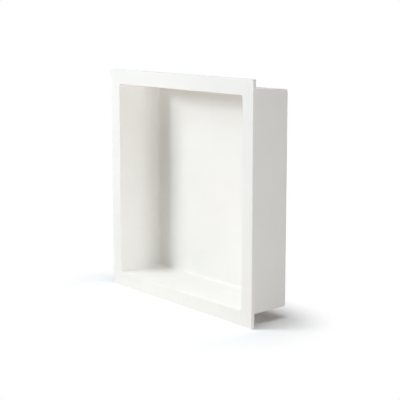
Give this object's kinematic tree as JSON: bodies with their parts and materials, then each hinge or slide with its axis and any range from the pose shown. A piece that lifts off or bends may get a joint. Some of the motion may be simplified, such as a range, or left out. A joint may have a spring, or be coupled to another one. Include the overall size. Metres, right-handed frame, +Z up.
{
  "type": "shower niche insert",
  "caption": "Square recessed wall niche: an open tray with slightly drafted walls, rounded inner corners and a flat face flange, cast whole, set into a wall cut-out to hold bottles in a shower.",
  "frame": {"origin": "centre of the flange's back face, in the plane of the finished wall", "axes": "+X to the right as seen from the room, +Y into the wall, +Z up; the opening faces -Y"},
  "size_m": [0.345, 0.079, 0.345],
  "materials": {
    "cast_body": "satin-matt warm white, cast mineral-filled resin coloured right through"
  },
  "bodies": {
    "root": {"niche_insert": "cast_body"}
  },
  "joints": []
}
